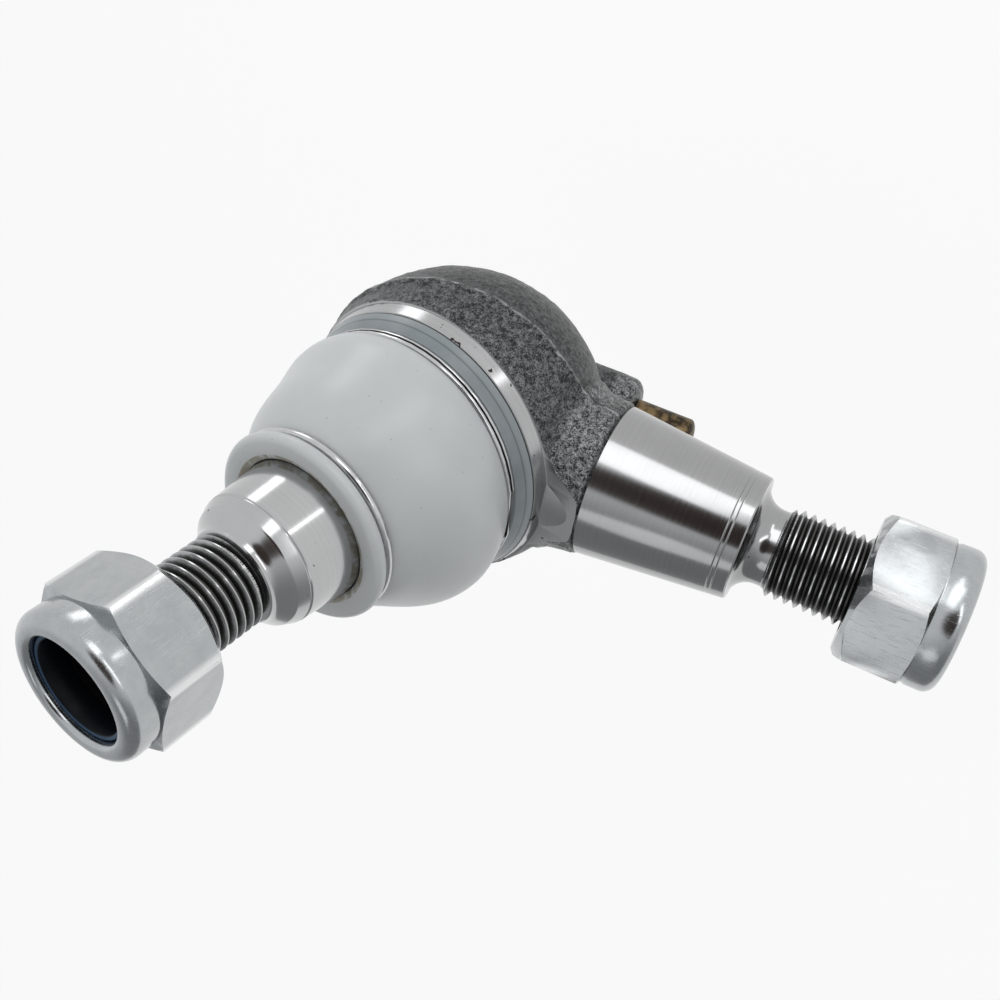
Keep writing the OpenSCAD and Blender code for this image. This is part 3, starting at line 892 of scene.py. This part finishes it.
@dataclass
class Housing:
    """The forged cup with its turned mouth, coned shank and lug. Sizes in mm."""

    cup_r: float = 24.0
    neck_r: float = 12.8
    neck_end_r: float = 12.5
    flare: Point = (3, 3.4)
    flare_z: float = 23.2
    cone_start: float = 26.5
    cone_end: float = 50.0
    cone_big_r: float = 12.1
    cone_small_r: float = 9.75
    grooves: Point = (47.0, 47.7)
    groove_w: float = 0.28
    groove_d: float = 0.1
    buried: float = 20.0
    relief_r: float = 5.95
    relief_round: float = 3.3
    thread_start: float = 54.4
    shank_end: float = 77.0
    lug_r: float = 6.0
    lug_root: float = 4.0
    lug_end: float = 24.0
    lug_round: float = 2.0
    grain: float = 0.42

    def build(self) -> None:
        """Builds the forging and the turned shank and joins them into one piece."""
        body = self.forging()
        Bench.cut(body, self.mouth_tool(), "DIFFERENCE")
        Bench.cut(body, self.shank(), "UNION")
        body.name = "cup_forging"
        Bench.sharpen_borders(body)
        Bench.done(body, "carrier_side", "forged_steel", ["housing"])

    def forging(self) -> bpy.types.Object:
        """Fuses the cup, neck, lug, web and parting ridge and roughens their skin.

        Returns:
            The rough forging.
        """
        bpy.ops.mesh.primitive_uv_sphere_add(
            radius=self.cup_r, segments=96, ring_count=64
        )
        cup = Bench.begin("cup_forging", FORGED)
        round_at = (self.neck_r + self.flare[0], self.flare_z)
        flare = oval(round_at, self.flare, 235, 180, 6)
        end = self.cone_start - 0.25
        neck = Bench.turned(
            "neck", [(0, 0), *flare, (self.neck_end_r, end), (0, end)], FORGED
        )
        round_at = (self.lug_r - self.lug_round, self.lug_end - self.lug_round)
        lug = Bench.turned(
            "lug",
            [(0, self.lug_root), (self.lug_r, self.lug_root)]
            + oval(round_at, (self.lug_round,) * 2, 0, 90, 6)
            + [(0, self.lug_end)],
            FORGED,
        )
        lug.location.x = PIN_OFFSET
        Bench.onto_shank(neck)
        Bench.onto_shank(Bench.freeze(lug))
        parts = [cup, neck, lug, self.web(), *self.ridges()]
        Bench.hold(*parts)
        bpy.ops.object.join()
        Bench.apply(cup, "REMESH", mode="VOXEL", voxel_size=self.grain)
        Bench.apply(cup, "SMOOTH", factor=0.5, iterations=6)
        self.roughen(cup)
        return cup

    def web(self) -> bpy.types.Object:
        """Makes the web that fills the corner between the lug, the neck and the cup."""
        long = self.lug_end - self.lug_round - self.lug_root
        reach = PIN_OFFSET - self.lug_r / 4
        middle = (reach / 2, 0, self.lug_root + long / 2)
        return self.block("web", middle, (reach, self.lug_r * 1.7, long))

    def block(
        self,
        name: str,
        middle: tuple[float, float, float],
        sides: tuple[float, float, float],
    ) -> bpy.types.Object:
        """Makes a block and lays it along the shank.

        Args:
            name: Name of the block.
            middle: Its middle before it is laid down, in mm.
            sides: Its length along each axis, in mm.

        Returns:
            The block, in place.
        """
        bpy.ops.mesh.primitive_cube_add(size=1, location=middle)
        block = Bench.begin(name, FORGED)
        block.scale = sides
        return Bench.onto_shank(Bench.freeze(block))

    def ridges(self) -> list[bpy.types.Object]:
        """Makes the low plates that leave the forging's parting line."""
        thick, far = 0.9, 24.6
        over_cup, over_neck = 0.55, 0.45
        bpy.ops.mesh.primitive_cylinder_add(
            vertices=96,
            radius=self.cup_r + over_cup,
            depth=thick,
            rotation=(0, math.pi / 2, 0),
        )
        disc = Bench.onto_shank(Bench.freeze(Bench.begin("parting_plate", FORGED)))
        sides = (thick, (self.neck_end_r + over_neck) * 2, far)
        return [disc, self.block("parting_plate", (0, 0, far / 2), sides)]

    def roughen(self, forging: bpy.types.Object) -> None:
        """Gives the skin slow waves and a scaly grain."""
        for label, size, depth in (("waves", 7.0, 0.3), ("scale", 1.3, 0.22)):
            pattern = bpy.data.textures.new(label, "CLOUDS")
            pattern.noise_scale = size
            pattern.noise_depth = 2
            Bench.apply(
                forging,
                "DISPLACE",
                texture=pattern,
                texture_coords="LOCAL",
                strength=depth,
                mid_level=0.5,
            )

    def mouth_tool(self) -> bpy.types.Object:
        """Makes the solid that the lathe takes off the cup and out of it."""
        far = self.cup_r * 2
        seat_r, step_z = 16.52, 9.608
        ring_r, roll_z = 17.52, 11.628
        collar_r, collar_z = 19.0, 13.6
        ledge_z, band_z = 9.408, 7.2
        return Bench.turned(
            "mouth_tool",
            oval((0, 0), (seat_r, seat_r), -90, 0, 20)
            + [(seat_r, step_z), (ring_r, step_z), (ring_r, roll_z), (15.2, roll_z)]
            + [(15.35, collar_z), (18.3, collar_z), (18.85, 13.4), (collar_r, 13.05)]
            + [(collar_r, ledge_z), (21.85, ledge_z), (22.02, 9.3), (22.5, 7.5)]
            + [(22.56, 7.25), (22.7, band_z), (far, band_z), (far, far), (0, far)],
            RIM_STEEL,
            steps=128,
        )

    def shank(self) -> bpy.types.Object:
        """Turns the cone and its undercut, and joins the thread to them.

        Returns:
            The shank, in place.
        """
        root, lap_z = THREAD_ROOT_R, self.thread_start + THREAD_LAP
        middle = (self.relief_r + self.relief_round, self.cone_end + self.relief_round)
        inner, bevel = self.cone_big_r - 0.4, 0.12
        groove = [
            (self.cone_r(start + up * self.groove_w) - dip, start + up * self.groove_w)
            for start in self.grooves
            for up, dip in ((0, 0), (0.5, self.groove_d), (1, 0))
        ]
        body = Bench.turned(
            "shank",
            [(0, self.buried), (inner, self.buried), (inner, 25.9)]
            + [(self.cone_big_r - bevel, self.cone_start)]
            + [(self.cone_big_r, self.cone_start + bevel)]
            + groove
            + [(self.cone_small_r, self.cone_end - 0.22)]
            + [(self.cone_small_r - 0.2, self.cone_end)]
            + oval(middle, (self.relief_round,) * 2, 270, 180, 10)
            + [(self.relief_r, self.thread_start - 0.2), (root, self.thread_start)]
            + [(root, lap_z), (0, lap_z)],
            SHANK_STEEL,
            steps=128,
        )
        thread = Thread(self.thread_start, self.shank_end, SHANK_THREAD).build()
        Bench.cut(body, thread, "UNION")
        return Bench.onto_shank(body)

    def cone_r(self, along: float) -> float:
        """Gives the radius of the shank's cone at a distance along it."""
        share = (along - self.cone_start) / (self.cone_end - self.cone_start)
        return self.cone_big_r + (self.cone_small_r - self.cone_big_r) * share


@dataclass
class BallStud:
    """The ball with its neck, cone, band, shoulder and thread. Sizes in mm."""

    ball_r: float = 14.0
    neck_r: float = 6.8
    fillet: float = 2.0
    flare_z: float = 21.5
    cone_z: float = 28.4
    cone_end_z: float = STUD_CONE_END_Z
    cone_big_r: float = 11.59
    cone_small_r: float = STUD_CONE_R
    cone_edge: Profile = ((0.02, -0.22), (-0.22, -0.05), (-0.24, 0.08), (-0.06, 0.22))
    band_end_z: float = 46.4
    band_r: float = 9.4
    band_edge: Profile = ((0.05, -0.12), (-0.03, 0.03), (-0.14, 0.14))
    shoulder: Profile = (
        *((8.25, 47.45), (7.85, 47.85), (7.55, 48.22)),
        *((7.38, 48.6), (7.3, 49.0), (7.1, 49.2)),
    )
    thread_start: float = 49.1
    end: float = 70.4

    def build(self) -> None:
        """Turns the stud and joins its thread to it."""
        x = self.neck_r + self.fillet
        y = math.sqrt((self.ball_r + self.fillet) ** 2 - x**2)
        on_ball = math.degrees(math.atan2(y, x))
        flare = (self.cone_big_r - self.neck_r) * 0.9
        root, lap_z = THREAD_ROOT_R, self.thread_start + THREAD_LAP
        cone_edge = [
            (self.cone_small_r + out, self.cone_end_z + up)
            for out, up in self.cone_edge
        ]
        band_edge = [
            (self.band_r + out, self.band_end_z + up) for out, up in self.band_edge
        ]
        body = Bench.turned(
            "ball_and_stud",
            oval((0, 0), (self.ball_r,) * 2, -90, on_ball, 30)
            + oval((x, y), (self.fillet,) * 2, 180 + on_ball, 180, 6)[1:]
            + oval((self.neck_r + flare, self.flare_z), (flare, 5.5), 180, 90, 8)
            + [(self.cone_big_r, self.cone_z - 0.6), (self.cone_big_r, self.cone_z)]
            + [*cone_edge, *band_edge, *self.shoulder]
            + [(root + 0.1, 49.4), (root, 49.5), (root, lap_z), (0, lap_z)],
            STUD_STEEL,
            steps=128,
        )
        thread = Thread(self.thread_start, self.end, STUD_THREAD).build()
        Bench.cut(body, thread, "UNION")
        Bench.done(body, "stud", "turned_steel", ["ball_stud"])


class NutPlace(Enum):
    """The two places of a lock nut: name, height, turn and whether on the shank."""

    STUD = ("stud_nut", 60.9, 80.0, False)
    SHANK = ("shank_nut", 66.9, 140.0, True)


@dataclass
class LockNut:
    """A hexagon nut with a rolled collar that holds a nylon ring. Sizes in mm."""

    place: NutPlace
    flat_r: float = 11.0
    hex_h: float = 10.5
    height: float = 15.2
    bore_r: float = 7.06
    insert_r: float = 9.32
    pocket_low: float = 10.16
    pocket_top: float = 12.9
    lip_r: float = 7.9
    edge: float = 0.42

    def build(self) -> None:
        """Shapes the hexagon and the collar, bores them and rounds their edges."""
        name, height, turn, on_shank = self.place.value
        finish = SHANK_ZINC if on_shank else STUD_ZINC
        corner_r = self.flat_r / math.cos(math.pi / 6)
        bpy.ops.mesh.primitive_cylinder_add(
            vertices=6,
            radius=corner_r,
            depth=self.hex_h,
            location=(0, 0, self.hex_h / 2),
            rotation=(0, 0, math.pi / 6),
        )
        nut = Bench.freeze(Bench.begin(f"{name}_body", finish))
        Bench.cut(nut, self.chamfers(finish), "INTERSECT")
        Bench.apply(
            nut,
            "BEVEL",
            width=self.edge,
            segments=3,
            limit_method="ANGLE",
            angle_limit=math.radians(20),
            harden_normals=False,
            use_clamp_overlap=True,
        )
        Bench.cut(nut, self.collar(finish), "UNION")
        Bench.cut(nut, self.bore(BORE), "DIFFERENCE")
        ring = self.nylon_ring(SHANK_NYLON if on_shank else STUD_NYLON)
        for piece in (nut, ring):
            piece.location.z = height
            piece.rotation_euler.z = math.radians(turn)
            Bench.freeze(piece)
            if on_shank:
                Bench.onto_shank(piece)
        Bench.done(nut, name, "zinc_plate", [name], smooth=40)
        ring.name = f"{name}_nylon"
        Bench.done(ring, name, "blue_nylon", [f"{name}_insert"], smooth=50)

    def nylon_ring(self, finish: Finish) -> bpy.types.Object:
        """Turns the nylon ring, squeezed up a little into the hole of the lip."""
        gap = 0.02
        inner, outer = self.bore_r + gap, self.insert_r - gap
        low, top = self.pocket_low + gap, self.pocket_top - gap
        hole_r = self.lip_r - 0.05
        return Bench.turned(
            "nylon_ring",
            [(inner, low), (outer, low), (outer, top)]
            + [(hole_r, top), (hole_r, top + 0.9), (hole_r - 0.2, top + 1.15)]
            + [(inner + 0.15, top + 1.1), (inner, top + 0.95), (inner, low)],
            finish,
        )

    def chamfers(self, finish: Finish) -> bpy.types.Object:
        """Turns the solid that leaves the chamfer arcs on the flats."""
        far = self.flat_r / math.cos(math.pi / 6) + 1
        low, high = self.flat_r - 0.75, self.flat_r - 0.125
        low_slope, high_slope = 0.76, 0.41
        return Bench.turned(
            "nut_chamfers",
            [(0, 0), (low, 0), (far, (far - low) * low_slope)]
            + [(far, self.hex_h - (far - high) * high_slope), (high, self.hex_h)]
            + [(0, self.hex_h)],
            finish,
            steps=120,
        )

    def collar(self, finish: Finish) -> bpy.types.Object:
        """Turns the rolled collar above the hexagon."""
        valley, low = self.flat_r - 0.25, self.hex_h - 1
        round_r, lip_round, under = 1.9, 0.8, self.pocket_top - 0.6
        shoulder_at = (self.flat_r - round_r, self.height - round_r)
        lip_at = (self.lip_r + lip_round, self.height - lip_round)
        return Bench.turned(
            "nut_collar",
            [(0, low), (valley, low), (valley, self.hex_h + 0.12)]
            + [(self.flat_r - 0.02, self.hex_h + 0.75)]
            + oval(shoulder_at, (round_r, round_r), 0, 90)
            + oval(lip_at, (lip_round, lip_round), 90, 180, 6)
            + [(self.lip_r, under), (0, under)],
            finish,
            steps=120,
        )

    def bore(self, finish: Finish) -> bpy.types.Object:
        """Turns the countersink, the bore and the pocket of the nylon ring."""
        sink, hole_r = 0.65, self.lip_r - 0.01
        return Bench.turned(
            "nut_bore",
            [(0, -1), (self.bore_r + sink + 1, -1), (self.bore_r + sink, 0)]
            + [(self.bore_r, sink), (self.bore_r, self.pocket_low)]
            + [(self.insert_r, self.pocket_low), (self.insert_r, self.pocket_top)]
            + [(hole_r, self.pocket_top), (hole_r, self.height + 1)]
            + [(0, self.height + 1)],
            finish,
        )


@dataclass
class DustBoot:
    """The boot's foot, bulb and flange, with its two clamps. Sizes in mm."""

    rim_z: float = 9.408
    lip_r: float = 21.74
    heel_r: float = 1.3
    foot_r: float = 19.12
    foot_top_z: float = 15.0
    tube_z: Point = (35.8, 30.0)
    groove_r: float = 19.72
    wire_r: float = 20.265
    wire_z: float = 13.058
    wire_d: float = 0.85
    bulb_r: float = 21.5
    bulb_z: float = 18.008
    bulb_top_z: float = 32.6
    flatness: float = 1.5
    lean: tuple[float, float] = (0.8, -0.45)
    wall: float = 1.4
    neck_groove_r: float = 13.28
    small_wire_d: float = 1.3
    flange_r: float = 15.0
    flange_z: float = 36.4
    gap: float = 0.12
    shoulder_h: float = 2.8
    film_h: float = 0.7
    film_w: float = 1.2

    def build(self) -> None:
        """Builds the boot and the clamps."""
        self.skin()
        self.large_clamp()
        self.small_clamp()

    def stud_r(self, height: float) -> float:
        """Gives the radius of the stud's cone at a height."""
        return STUD_CONE_R + (STUD_CONE_END_Z - height) / 12

    def skin(self) -> None:
        """Turns the boot's wall, which bends from the cup to the stud."""
        top_r = self.neck_groove_r + self.wall / 2
        bulb_h = self.bulb_top_z - self.bulb_z
        groove_top = self.wire_z + self.wire_d + self.gap
        groove_low = self.wire_z - self.wire_d - self.gap
        fold_low = self.bulb_top_z + self.small_wire_d + self.gap * 2
        fold = (self.flange_z - fold_low) / 2
        hollow = (self.bulb_r - self.wall - top_r, bulb_h - self.wall)
        inner = oval((top_r, self.bulb_z), hollow, 85, 0, 24, self.flatness)
        heel, foot_z = self.bulb_r - self.heel_r, self.rim_z + self.gap
        swell = (self.bulb_r - top_r, bulb_h)
        outline = (
            [(self.lip_r, foot_z), (21.84, foot_z + 0.1), (21.78, self.rim_z + 0.42)]
            + [(20.5, groove_low - 0.04), (20.32, groove_low)]
            + [(self.groove_r, groove_low), (self.groove_r, groove_top)]
            + oval((heel, self.bulb_z), (self.heel_r, self.bulb_z - groove_top), -90, -10)
            + oval((top_r, self.bulb_z), swell, 0, 90, 28, self.flatness)
            + [(self.neck_groove_r, self.bulb_top_z), (self.neck_groove_r, fold_low)]
            + oval((self.flange_r - fold, self.flange_z - fold), (fold, fold), -90, 90)
            + [
                (self.stud_r(self.flange_z) + out, self.flange_z - down)
                for out, down in ((1.9, 0.02), (1.1, 0.1), (0.45, 0.32))
            ]
            + [(self.stud_r(z) + self.gap, z) for z in self.tube_z]
            + inner
            + [(self.foot_r, self.foot_top_z), (self.foot_r, foot_z)]
            + [(self.lip_r, foot_z)]
        )
        boot = Bench.turned("boot", outline, BOOT_SILICONE, steps=128)
        self.grease(boot)
        self.settle(boot)
        Bench.done(boot, "", "boot_rubber", ["dust_boot"], smooth=38)
        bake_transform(boot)

    def grease(self, boot: bpy.types.Object) -> None:
        """Gives the flange's inner edge, where it touches the stud, its film of grease.

        Args:
            boot: The turned boot, in mm.
        """
        low = self.flange_z - self.film_h
        edge = self.stud_r(self.flange_z) + self.film_w
        boot.data.materials.append(GREASY_SILICONE.material())
        for face in boot.data.polygons:
            across = math.hypot(face.center.x, face.center.y)
            if face.center.z > low and across < edge:
                face.material_index = 1

    def settle(self, boot: bpy.types.Object) -> None:
        """Lets the soft bulb sag a little to one side between its two clamps.

        Args:
            boot: The turned boot, in mm.
        """
        low = self.wire_z + self.wire_d + self.gap
        high = self.bulb_top_z - self.shoulder_h
        for vertex in boot.data.vertices:
            share = (vertex.co.z - low) / (high - low)
            if 0 < share < 1:
                swell = math.sin(math.pi * share) ** 2
                vertex.co.x += self.lean[0] * swell
                vertex.co.y += self.lean[1] * swell

    def large_clamp(self) -> None:
        """Winds the wire twice round the boot's foot, with a step between the turns."""
        drop = self.wire_d * 0.47
        turns = [
            (angle, self.wire_z + side * drop)
            for side, first, last in ((-1, 14, 357), (1, 374, 716))
            for angle in range(first, last, 7)
        ]
        curve = bpy.data.curves.new("large_clamp", "CURVE")
        curve.dimensions = "3D"
        curve.bevel_depth = self.wire_d / 2
        curve.bevel_resolution = 3
        curve.use_fill_caps = True
        spline = curve.splines.new("POLY")
        spline.points.add(len(turns) - 1)
        for point, (angle, height) in zip(spline.points, turns, strict=True):
            a = math.radians(angle)
            point.co = (self.wire_r * math.cos(a), self.wire_r * math.sin(a), height, 1)
        Bench.hold(Bench.add("large_clamp", curve))
        bpy.ops.object.convert(target="MESH")
        clamp = Bench.begin("large_clamp", LARGE_WIRE)
        Bench.done(clamp, "boot_side", "spring_wire", ["boot_large_clamp"], smooth=50)

    def small_clamp(self) -> None:
        """Makes the single ring between the bulb and the flange."""
        middle = self.bulb_top_z + self.gap + self.small_wire_d / 2
        ring_r = self.neck_groove_r + self.gap + self.small_wire_d / 2
        half = self.small_wire_d / 2
        ring = Bench.turned(
            "small_clamp",
            oval((ring_r, middle), (half, half), 0, 360, 20),
            SMALL_WIRE,
            steps=128,
        )
        Bench.done(ring, "leaning_side", "spring_wire", ["boot_small_clamp"], smooth=50)


@dataclass
class LocatingPin:
    """The browned dowel pin in its lug. Sizes in mm."""

    radius: float = 3.0
    root_r: float = 2.5
    low: float = 16.0
    shoulder: float = 24.1
    top: float = 34.5
    dome: float = 1.3

    def build(self) -> None:
        """Turns the pin and lays it beside the shank."""
        pin = Bench.turned(
            "dowel_pin",
            [(0, self.low), (self.root_r - 0.5, self.low)]
            + [(self.root_r, self.low + 0.5)]
            + [(self.root_r, self.shoulder), (self.radius - 0.12, self.shoulder)]
            + [(self.radius, self.shoulder + 0.12)]
            + oval((0, self.top - self.dome), (self.radius, self.dome), 0, 90, 10),
            PIN_STEEL,
            steps=48,
        )
        pin.location.x = PIN_OFFSET
        Bench.onto_shank(Bench.freeze(pin))
        Bench.done(pin, "carrier_side", "brown_steel", ["locating_pin"])


@dataclass
class SocketInside:
    """The seat and the closing ring, which keep their CAD meshes."""

    nodes: dict[str, bpy.types.Object]

    def build(self) -> None:
        """Gives each carried-over node its finish."""
        finishes = {"ball_seat": SEAT_PLASTIC, "closing_ring": STUD_STEEL}
        for name, finish in finishes.items():
            mesh = self.nodes[name].data
            mesh.materials.clear()
            mesh.materials.append(finish.material())
            LOG.info("%s: %s", name, finish.label)


@dataclass
class Studio:
    """Floor, soft lamps, world and camera. Sizes in mm."""

    floor_z: float = -80.0
    floor_half: float = 6000.0
    camera_at: tuple[float, float, float] = (86.82, 122.70, 132.77)
    camera_aim: tuple[float, float, float] = (11.9, -8.82, 2.05)
    camera_roll: float = -129.251
    lens: float = 45.0
    middle: tuple[float, float, float] = (20.0, 0.0, 22.0)
    opening: tuple[float, float, float, float] = (58, 46, 0.915, 0.945)
    dim_side: tuple[float, float, float, float] = (-60, 26, 0.1, 0.95)

    def build(self) -> None:
        """Sets up everything that isn't part of the object."""
        self.camera()
        self.floor()
        self.world()
        self.lamps()
        bpy.context.scene.view_settings.view_transform = "Standard"

    def camera(self) -> None:
        """Places the camera at the photograph's viewing angle."""
        data = bpy.data.cameras.new("photo_camera")
        data.lens = self.lens
        data.sensor_width = 36.0
        data.clip_start = 0.005
        data.clip_end = 50.0
        camera = Bench.add("photo_camera", data)
        at, aim = Vector(self.camera_at), Vector(self.camera_aim)
        straight = (aim - at).to_track_quat("-Z", "Y")
        roll = Quaternion((0, 0, 1), math.radians(self.camera_roll))
        camera.rotation_mode = "QUATERNION"
        camera.rotation_quaternion = straight @ roll
        camera.location = at * METRES_PER_MM
        bpy.context.scene.camera = camera

    def floor(self) -> None:
        """Lays a pale floor that stays white and takes a faint shadow."""
        bpy.ops.mesh.primitive_plane_add(size=2)
        floor = bpy.context.object
        floor.name = "floor"
        floor.scale = (self.floor_half * METRES_PER_MM,) * 2 + (1,)
        floor.location.z = self.floor_z * METRES_PER_MM
        Bench.freeze(floor)
        made = bpy.data.materials.new("floor_paper")
        made.use_nodes = True
        graph = Graph(made.node_tree)
        made.node_tree.nodes.remove(made.node_tree.nodes["Principled BSDF"])
        paper = graph.add("BsdfDiffuse", Color=(0.84, 0.84, 0.84, 1))
        white = graph.add("Emission", Color=(1, 1, 1, 1), Strength=1.0)
        rays = graph.add("LightPath").outputs
        seen = graph.math("MAXIMUM", rays["Is Camera Ray"], rays["Is Glossy Ray"])
        seen = graph.math("MAXIMUM", seen, rays["Is Transmission Ray"])
        share = graph.times(seen, 0.88)
        mixed = graph.add("MixShader")
        sockets = (share, paper.outputs[0], white.outputs[0])
        for socket, value in zip(mixed.inputs, sockets, strict=True):
            graph.plug(socket, value)
        output = made.node_tree.nodes["Material Output"]
        graph.plug(output.inputs["Surface"], mixed.outputs[0])
        floor.data.materials.append(made)

    def world(self) -> None:
        """Paints a white light tent with one dark opening, by direction."""
        world = bpy.data.worlds.new("light_tent")
        bpy.context.scene.world = world
        world.use_nodes = True
        graph = Graph(world.node_tree)
        look = graph.add("TexCoord").outputs["Generated"]
        dark, dim = (
            self.toward(graph, look, *spot) for spot in (self.opening, self.dim_side)
        )
        tent = graph.mix(dim, (0.92, 0.93, 0.94, 1), (0.3, 0.305, 0.31, 1))
        tone = graph.mix(dark, tent, (0.05, 0.035, 0.03, 1))
        background = world.node_tree.nodes["Background"]
        graph.plug(background.inputs["Color"], tone)
        background.inputs["Strength"].default_value = 1.0

    def toward(
        self,
        graph: Graph,
        look: object,
        azimuth: float,
        elevation: float,
        low: float,
        high: float,
    ) -> object:
        """Fades in a part of the sky round one direction.

        Args:
            graph: The world's nodes.
            look: Socket of the direction that is looked in.
            azimuth: Angle of the middle from +X towards +Y, in degrees.
            elevation: Height of the middle above the floor, in degrees.
            low: Cosine of the angle from the middle at which it begins.
            high: Cosine of the angle from the middle inside which it is full.

        Returns:
            The socket that gives 0 to 1.
        """
        facing = graph.add("VectorMath", {"operation": "DOT_PRODUCT"})
        graph.plug(facing.inputs[0], look)
        facing.inputs[1].default_value = self.direction(azimuth, elevation)
        return graph.step(facing.outputs["Value"], low, high)

    @staticmethod
    def direction(azimuth: float, elevation: float) -> tuple[float, float, float]:
        """Turns an angle from +X towards +Y and a height into a direction.

        Args:
            azimuth: Angle from +X towards +Y, in degrees.
            elevation: Angle above the floor, in degrees.

        Returns:
            The unit vector.
        """
        a, e = math.radians(azimuth), math.radians(elevation)
        return (math.cos(a) * math.cos(e), math.sin(a) * math.cos(e), math.sin(e))

    def lamps(self) -> None:
        """Hangs the soft panels that the bright metal mirrors."""
        panels = (
            ("side_panel", 84, 9, 420, (130, 270), 1.9),
            ("front_strip", 48, 16, 420, (260, 60), 2.6),
            ("low_strip", 140, -14, 156, (38, 60), 2.0),
            ("narrow_strip", 66, -16, 138, (11, 60), 2.6),
            ("top_panel", -55, 64, 420, (150, 150), 0.8),
        )
        for name, azimuth, elevation, away, (wide, tall), radiance in panels:
            data = bpy.data.lights.new(name, "AREA")
            data.shape = "RECTANGLE"
            data.size = wide * METRES_PER_MM
            data.size_y = tall * METRES_PER_MM
            data.energy = radiance * math.pi * data.size * data.size_y
            lamp = Bench.add(name, data)
            toward = Vector(self.direction(azimuth, elevation))
            lamp.location = (Vector(self.middle) + toward * away) * METRES_PER_MM
            lamp.rotation_mode = "QUATERNION"
            lamp.rotation_quaternion = (-toward).to_track_quat("-Z", "Y")
            lamp.visible_camera = False


def main() -> None:
    """Loads the frame, builds every piece in order and sets up the studio."""
    logging.basicConfig(level=logging.INFO, format="%(name)s: %(message)s")
    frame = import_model()
    Studio().build()
    for piece in (
        Housing(),
        BallStud(),
        DustBoot(),
        LockNut(NutPlace.STUD),
        LockNut(NutPlace.SHANK),
        LocatingPin(),
        SocketInside(frame["nodes"]),
    ):
        piece.build()


if __name__ == "__main__":
    main()
